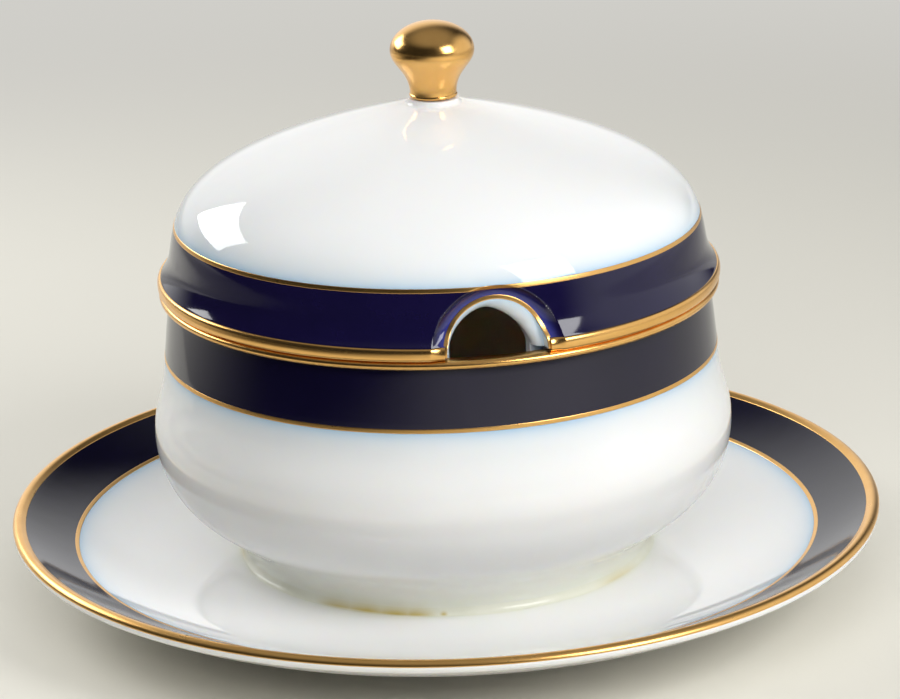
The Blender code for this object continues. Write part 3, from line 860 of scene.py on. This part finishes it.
def flange_outline():
    """Outline of the flange from the seat down its outer face, round its foot and up its inner face."""
    low = FLANGE_ROUND - FLANGE_DEPTH
    outer_corner = (FLANGE_OUTER - FLANGE_ROUND, low)
    inner_corner = (FLANGE_INNER + FLANGE_ROUND, low)
    return joined(
        (FLANGE_OUTER, 0.0),
        np.linspace((FLANGE_OUTER, FLANGE_TOP), (FLANGE_OUTER, low), FLANGE_STEPS - 1),
        arc(outer_corner, FLANGE_ROUND, FLANGE_ROUND, 0, -math.pi / 2, FLANGE_STEPS),
        arc(inner_corner, FLANGE_ROUND, FLANGE_ROUND, -math.pi / 2, -math.pi, FLANGE_STEPS),
        np.linspace((FLANGE_INNER, low), (FLANGE_INNER, 0.0), FLANGE_STEPS))


def angle_of(sideways):
    """Angle of places measured along the lid's wall from the middle of the notch, within half a turn."""
    return (sideways / LID_WALL_RADIUS + math.pi) % math.tau - math.pi


def hollow(sideways, height):
    """Depth of the hollow round the notch, at places on the lid's wall."""
    span = np.hypot(sideways, height - NOTCH_RAISE)
    share = np.clip((HOLLOW_REACH - span) / (HOLLOW_REACH - HOLLOW_FULL), 0, 1)
    rise = np.clip(height / HOLLOW_RISE, 0, 1)
    lift = HOLLOW_FOOT + (1 - HOLLOW_FOOT) * rise * rise * (3 - 2 * rise)
    return HOLLOW_DEPTH * np.sin(math.pi / 2 * share) * lift


def on_lid(sideways, height, radius):
    """Points on the lid; sideways is measured along its wall from the middle of the notch."""
    sideways, height, radius = np.broadcast_arrays(sideways, height, radius)
    angles = angle_of(sideways)
    depth = hollow(angles * LID_WALL_RADIUS, np.maximum(height, 0.0))
    return on_columns(angles, radius - depth, height + LID_SEAT)


def lid_layer(sideways, height, radius, proud):
    """Columns of a layer on the lid's outer face, its back let into the porcelain."""
    front = on_lid(sideways, height, radius + proud)
    back = on_lid(sideways, height, radius - LAYER_DEPTH)
    return np.concatenate([front, back[:, ::-1]], axis=1)


def round_the_back(first, last):
    """Sideways places from the left side of the notch round the back of the lid to its right side, closer
    together near the notch."""
    share = np.linspace(0, 1, TURNS + 1)
    share = share - NOTCH_CROWDING * np.sin(math.tau * share) / math.tau
    length = math.tau * LID_WALL_RADIUS
    return first - (length - last + first) * share


def notch_arch(radius):
    """Sideways places and heights along an arch of the notch, from the lid's seat to the seat again."""
    start = -math.asin(NOTCH_RAISE / radius)
    turn = np.linspace(start, math.pi - start, ARCH_TURNS + 1)
    return radius * np.cos(turn), NOTCH_RAISE + radius * np.sin(turn)


def notch_opening():
    """Sideways places and heights along the opening, an arch cut by hand, a little pointed and leaning."""
    turn = np.linspace(0, math.pi, ARCH_TURNS + 1)
    out = np.sign(np.cos(turn)) * np.abs(np.cos(turn)) ** OPENING_POINT
    up = np.sin(turn) ** OPENING_POINT
    return OPENING_ASIDE + OPENING_HALF_WIDTH * out + OPENING_LEAN * up, OPENING_HEIGHT * up


def with_the_back(sides, lows):
    """Sideways places and lowest heights of columns over the notch, led on round the back of the lid."""
    back = round_the_back(sides[-1], sides[0])
    sides = np.concatenate([sides, back])[:, None]
    lows = np.concatenate([lows, np.zeros(TURNS + 1)])[:, None]
    return sides, lows


def lip_columns(face, outer_side, outer_low, inner_side, inner_low):
    """Columns from the outer face round the lip of the notch to its opening, and level under the rim."""
    wall = np.minimum(radius_at(face, outer_low), LID_WALL_RADIUS)
    turn = np.linspace(math.pi / 2, 0, FINE_STEPS + 1)
    opened = 1 - np.cos(turn)
    lip = wall - NOTCH_ROUND * (1 - np.sin(turn))
    lip_side = inner_side + (outer_side - inner_side) * opened
    lip_level = inner_low + (outer_low - inner_low) * opened
    return on_lid(lip_side, lip_level, lip)


def flange_columns(inside, inner_side, inner_low):
    """Columns straight through the wall over the notch, and round the flange elsewhere."""
    through = np.linspace(0, 1, 2 * SHORT_STEPS + 1)
    radius = FLANGE_OUTER + (radius_at(inside, inner_low) - FLANGE_OUTER) * through
    level = np.broadcast_to(inner_low, radius.shape).copy()
    flange = flange_outline()
    spaced = np.linspace(0, 1, len(flange))
    radius[ARCH_TURNS + 1:] = np.interp(through, spaced, flange[:, RADIUS])
    level[ARCH_TURNS + 1:] = np.interp(through, spaced, flange[:, HEIGHT])
    return on_lid(inner_side, level, radius)


def lid_columns():
    """Columns of the lid's porcelain, first over the notch and then round the back. Each runs from the top
    of the outer face down to the notch or the seat, through the wall and up the inner face to the axis."""
    face = joined(lid_face(), (LID_FLARE_EDGE, 0.0))
    inside = lid_inside()
    outer_side, outer_low = with_the_back(*notch_arch(NOTCH_LINE_RADIUS))
    inner_side, inner_low = with_the_back(*notch_opening())
    share = np.linspace(0, 1, CURVE_STEPS + 1)
    crown = joined(
        (0.0, KNOB_SEAT), (KNOB_SEAT_RADIUS / 2, KNOB_SEAT), face[face[:, HEIGHT] > PLAIN_LEVEL])
    vault = inside[inside[:, HEIGHT] > PLAIN_LEVEL][::-1]
    outer_levels = PLAIN_LEVEL + (outer_low - PLAIN_LEVEL) * share
    inner_levels = inner_low + (PLAIN_LEVEL - inner_low) * share
    parts = [
        on_lid(outer_side, crown[:, HEIGHT], crown[:, RADIUS]),
        on_lid(outer_side, outer_levels, radius_at(face, outer_levels)),
        lip_columns(face, outer_side, outer_low, inner_side, inner_low),
        flange_columns(inside, inner_side, inner_low),
        on_lid(inner_side, inner_levels, radius_at(inside, inner_levels)),
        on_lid(inner_side, vault[:, HEIGHT], vault[:, RADIUS]),
    ]
    return np.concatenate(parts, axis=1)


def beside_lid_lines(tree, spot):
    """Distance above the lid's upper gilt line on the outer face, or inside the one along the notch."""
    above = calc(tree, "SUBTRACT", height_of(tree, spot), LID_SEAT + LID_LINE_HIGH)
    above = calc(tree, "ADD", above, turned_away(tree, from_axis(tree, spot)))
    span = measure(tree, "DISTANCE", scaled(tree, spot, (1, 0, 1)), (0.0, 0.0, LID_SEAT + NOTCH_RAISE))
    return calc(tree, "MAXIMUM", above, calc(tree, "SUBTRACT", NOTCH_LINE_RADIUS, span))


def hollow_thin_and_sheen(tree, spot):
    """How much paler the cobalt is in the hollow round the notch: partly cobalt run thin, partly a painted
    reflection.
    """
    span = measure(tree, "DISTANCE", spot, (0.0, -LID_WALL_RADIUS, LID_SEAT + NOTCH_RAISE))
    return ramp(tree, span, HOLLOW_REACH, HOLLOW_FULL)


def make_lid():
    """Lid with its cobalt band, gilding and notch."""
    face = lid_face()
    glaze = porcelain("lid_porcelain", beside_lid_lines)
    place("lid_body", "lid", "lid", lid_columns(), glaze, looped=False)
    make_lid_band(face)
    make_lid_line(face)
    make_lid_bead()
    make_notch_line(joined(face, (LID_FLARE_EDGE, 0.0)))


def make_lid_band(face):
    """Cobalt band on the lid's wall, which ends at the notch's gilt line."""
    edge = NOTCH_CUT_RADIUS - UNDERLAP
    arch, _ = notch_arch(edge)
    sides = np.concatenate([arch, round_the_back(arch[-1], arch[0])[1:-1]])[:, None]
    aside = np.abs(angle_of(sides)) * LID_WALL_RADIUS
    over_notch = NOTCH_RAISE + np.sqrt(np.maximum(edge ** 2 - aside ** 2, 0.0))
    low = np.maximum(over_notch, LID_BEAD_TOP - UNDERLAP)
    top = LID_LINE_LOW + UNDERLAP
    share = np.linspace(0, 1, CURVE_STEPS + 1)
    levels = top + (low - top) * share
    proud = COBALT_PROUD * rounded(share, LAYER_EDGE / LID_BAND_TOP)
    columns = lid_layer(sides, levels, radius_at(face, levels), proud)
    blue = cobalt("lid_cobalt", LID_BLUE, hollow_thin_and_sheen)
    place("lid_cobalt", "lid_cobalt_band", "lid", columns, blue)


def make_lid_line(face):
    """Gilt line above the lid's band."""
    line = layer_outline(stretch(face, LID_LINE_LOW, LID_LINE_HIGH, HEIGHT), GILT_PROUD)
    sides = -np.linspace(0, 1, 2 * TURNS, endpoint=False)[:, None] * math.tau * LID_WALL_RADIUS
    columns = on_lid(sides, line[:, HEIGHT], line[:, RADIUS])
    gilt = gold("lid_line_gold", LINE_ROUGHNESS)
    place("lid_line", "lid_upper_gilt_line", "lid", columns, gilt)


def make_lid_bead():
    """Gilded bead round the lid's rim, open at the notch."""
    root = LID_FLARE_EDGE - 2 * LAYER_DEPTH
    top = (LID_FLARE_EDGE, LID_BEAD_TOP + GILT_PROUD)
    foot = (LID_FLARE_EDGE, -LID_BEAD_DROP)
    outline = joined(bead(top, foot, LID_BEAD_EDGE), (root, -LID_BEAD_DROP), (root, LID_BEAD_TOP))
    half_gap = NOTCH_CUT_RADIUS - GILT_LINE / 2
    sides = round_the_back(-half_gap, half_gap)[:, None]
    columns = on_lid(sides, outline[:, HEIGHT], outline[:, RADIUS])
    gilt = gold("lid_bead_gold", BEAD_ROUGHNESS)
    place("lid_bead_gold", "lid_rim_gilding", "lid", columns, gilt, ring=False)


def make_notch_line(face):
    """Gilt line on the outer face along the notch."""
    share = np.linspace(0, 1, SHORT_STEPS + 1)
    arches = [notch_arch(NOTCH_LINE_RADIUS + GILT_LINE * part) for part in share]
    sides = np.stack([arch[0] for arch in arches], axis=1)
    levels = np.stack([arch[1] for arch in arches], axis=1)
    proud = GILT_PROUD * rounded(share, LAYER_EDGE / GILT_LINE)
    columns = lid_layer(sides, levels, radius_at(face, levels), proud)
    gilt = gold("notch_line_gold", LINE_ROUGHNESS)
    place("notch_line", "notch_gilt_line", "lid", columns, gilt, ring=False)


def make_knob():
    """Gilded knob with a small ring round its neck's foot."""
    base = LID_SEAT + KNOB_SEAT
    top = base + KNOB_HEIGHT
    foot = base + KNOB_GAP
    widest = top - KNOB_CROWN
    neck = foot + NECK_RING_HEIGHT
    half_ring = NECK_RING_HEIGHT / 2
    ring_middle = (NECK_RADIUS - NECK_RING_PROUD / 2, foot + half_ring)
    side_pull = (KNOB_RADIUS, widest - KNOB_PULL)
    neck_pull = (NECK_RADIUS, neck + NECK_PULL)
    outline = joined(
        arc((0.0, widest), KNOB_RADIUS, KNOB_CROWN, math.pi / 2, 0.0, CURVE_STEPS),
        curve((KNOB_RADIUS, widest), side_pull, neck_pull, (NECK_RADIUS, neck)),
        arc(ring_middle, NECK_RING_WIDTH, half_ring, NECK_RING_START, -math.pi / 2, FINE_STEPS),
        (NECK_RADIUS / 2, foot), (0.0, foot))
    gilt = gold("knob_gold", KNOB_ROUGHNESS)
    place("knob_gold", "knob", "lid", turned(outline, KNOB_TURNS), gilt, looped=False)


# Table, light and camera

def from_camera(aside, away, height):
    """Point given as seen from the camera: to the right, away and up, from the middle of the table."""
    right = Vector((math.cos(CAMERA_TURN), math.sin(CAMERA_TURN), 0.0))
    ahead = Vector((-math.sin(CAMERA_TURN), math.cos(CAMERA_TURN), 0.0))
    return aside * right + away * ahead + Vector((0.0, 0.0, height))


def beyond(tree, spot, side, start, full):
    """How far a place lies out to a side, given as seen from the camera: 0 at start and 1 at full."""
    return ramp(tree, measure(tree, "DOT_PRODUCT", spot, from_camera(*side)), start, full)


def stage_card(name, corners, material):
    """Flat card for the stage, attached to no body."""
    data = bpy.data.meshes.new(name)
    data.from_pydata([tuple(corner) for corner in corners], [], [tuple(range(len(corners)))])
    data.materials.append(material)
    card = bpy.data.objects.new(name, data)
    bpy.context.scene.collection.objects.link(card)
    return card


def make_table():
    """Pale table top that runs out of the picture on all sides. Far from the pot it glows a little, so
    that it looks pale there too: to the eye all round, and in reflections behind it and to the right."""
    material, tree, shader, spot = new_material("table_top")
    shader.inputs["Specular IOR Level"].default_value = TABLE_SHEEN
    colour = blend(tree, noise(tree, spot, TABLE_TINT_GRAIN), TABLE_DARK, TABLE_PALE)
    grain = noise(tree, spot, TABLE_GRAIN, detail=3.0)
    shine = spread(tree, grain, *TABLE_ROUGHNESS)
    link_surface(tree, shader, colour, shine, bump(tree, grain, TABLE_RELIEF, strength=0.2))
    rays = tree.nodes.new("ShaderNodeLightPath").outputs
    mirrored = calc(tree, "MAXIMUM", rays["Is Glossy Ray"], rays["Is Transmission Ray"])
    behind = beyond(tree, spot, AWAY, *GLOW_BEHIND)
    aside = beyond(tree, spot, TO_THE_RIGHT, *GLOW_RIGHT)
    around = ramp(tree, radius_of(tree, spot), *GLOW_SEEN)
    in_view = calc(tree, "MULTIPLY", around, rays["Is Camera Ray"])
    in_mirror = calc(tree, "MULTIPLY", calc(tree, "MAXIMUM", behind, aside), mirrored)
    share = calc(tree, "MAXIMUM", in_view, in_mirror)
    glow = add(tree, "ShaderNodeEmission", {"Color": (*TABLE_GLOW, 1.0)}).outputs[0]
    mixed = add(tree, "ShaderNodeMixShader", {0: share, 1: shader.outputs[0], 2: glow}).outputs[0]
    tree.links.new(mixed, tree.nodes["Material Output"].inputs["Surface"])
    signs = ((-1, -1), (1, -1), (1, 1), (-1, 1))
    stage_card("table_top", [(x * TABLE_REACH, y * TABLE_REACH, 0.0) for x, y in signs], material)


def make_flag():
    """Dark card on the table at the front left, paler towards its edges, seen only in reflections."""
    material, tree, shader, spot = new_material("flag")
    right = beyond(tree, spot, TO_THE_RIGHT, *FADE_RIGHT)
    back = beyond(tree, spot, FLAG_BACK, *FADE_BACK)
    colour = blend(tree, calc(tree, "MAXIMUM", right, back), FLAG_DARK, FLAG_PALE)
    weave = noise(tree, spot, FLAG_WEAVE)
    shine = spread(tree, weave, *FLAG_ROUGHNESS)
    link_surface(tree, shader, colour, shine, bump(tree, weave, FLAG_RELIEF, strength=0.3))
    corners = [from_camera(aside, away, FLAG_HEIGHT) for aside, away in FLAG_PLAN]
    flag = stage_card("flag", corners, material)
    flag.visible_camera = False
    flag.visible_diffuse = False
    flag.visible_shadow = False


def make_room():
    """Room that is dark but for pale walls to the right and behind and a pale ceiling. To the eye it is
    pale all round."""
    world = bpy.data.worlds.new("room")
    world.use_nodes = True
    tree = world.node_tree
    background = tree.nodes["Background"]
    background.inputs["Color"].default_value = (*ROOM_COLOUR, 1.0)
    direction = tree.nodes.new("ShaderNodeTexCoord").outputs["Generated"]
    level = ROOM_DARK
    for side, start, full, strength in ROOM_LIGHT:
        facing = measure(tree, "DOT_PRODUCT", direction, from_camera(*side).normalized())
        level = calc(tree, "ADD", level, ramp(tree, facing, start, full, strength))
    seen = tree.nodes.new("ShaderNodeLightPath").outputs["Is Camera Ray"]
    level = add(tree, "ShaderNodeMix", {"Factor": seen, "A": level, "B": ROOM_SEEN}).outputs[0]
    tree.links.new(level, background.inputs["Strength"])
    bpy.context.scene.world = world


def softbox(name, position, target, width, height, power):
    """Rectangular lamp that faces a target."""
    lamp = bpy.data.lights.new(name, "AREA")
    lamp.shape = "RECTANGLE"
    lamp.size = width
    lamp.size_y = height
    lamp.energy = power
    holder = bpy.data.objects.new(name, lamp)
    holder.location = position
    holder.rotation_mode = "QUATERNION"
    holder.rotation_quaternion = (target - position).to_track_quat("-Z", "Y")
    bpy.context.scene.collection.objects.link(holder)
    return holder


def make_light():
    """Softboxes at the front right and the back left, and two wide fills that leave no highlight."""
    target = Vector((0.0, 0.0, LAMP_AIM))
    for name, (stand, width, height, power, highlight) in LAMPS.items():
        lamp = softbox(name, from_camera(*stand), target, width, height, power)
        lamp.visible_glossy = highlight


def make_camera():
    """Camera at the photograph's place, tipped a little to the side as the photograph is."""
    target = from_camera(AIM_ASIDE, 0.0, AIM_HEIGHT)
    position = from_camera(
        AIM_ASIDE,
        -CAMERA_DISTANCE * math.cos(CAMERA_RISE),
        AIM_HEIGHT + CAMERA_DISTANCE * math.sin(CAMERA_RISE))
    lens = bpy.data.cameras.new("camera")
    lens.sensor_fit = "HORIZONTAL"
    lens.sensor_width = CAMERA_SENSOR
    lens.lens = CAMERA_LENS
    camera = bpy.data.objects.new("camera", lens)
    level = (target - position).to_track_quat("-Z", "Y").to_matrix().to_4x4()
    camera.matrix_world = Matrix.Translation(position) @ level @ Matrix.Rotation(CAMERA_ROLL, 4, "Z")
    bpy.context.scene.collection.objects.link(camera)
    bpy.context.scene.camera = camera


make_camera()
make_underplate()
make_foot_seam()
make_bowl()
make_lid()
make_knob()
make_table()
make_flag()
make_room()
make_light()
bpy.context.scene.view_settings.view_transform = "Standard"
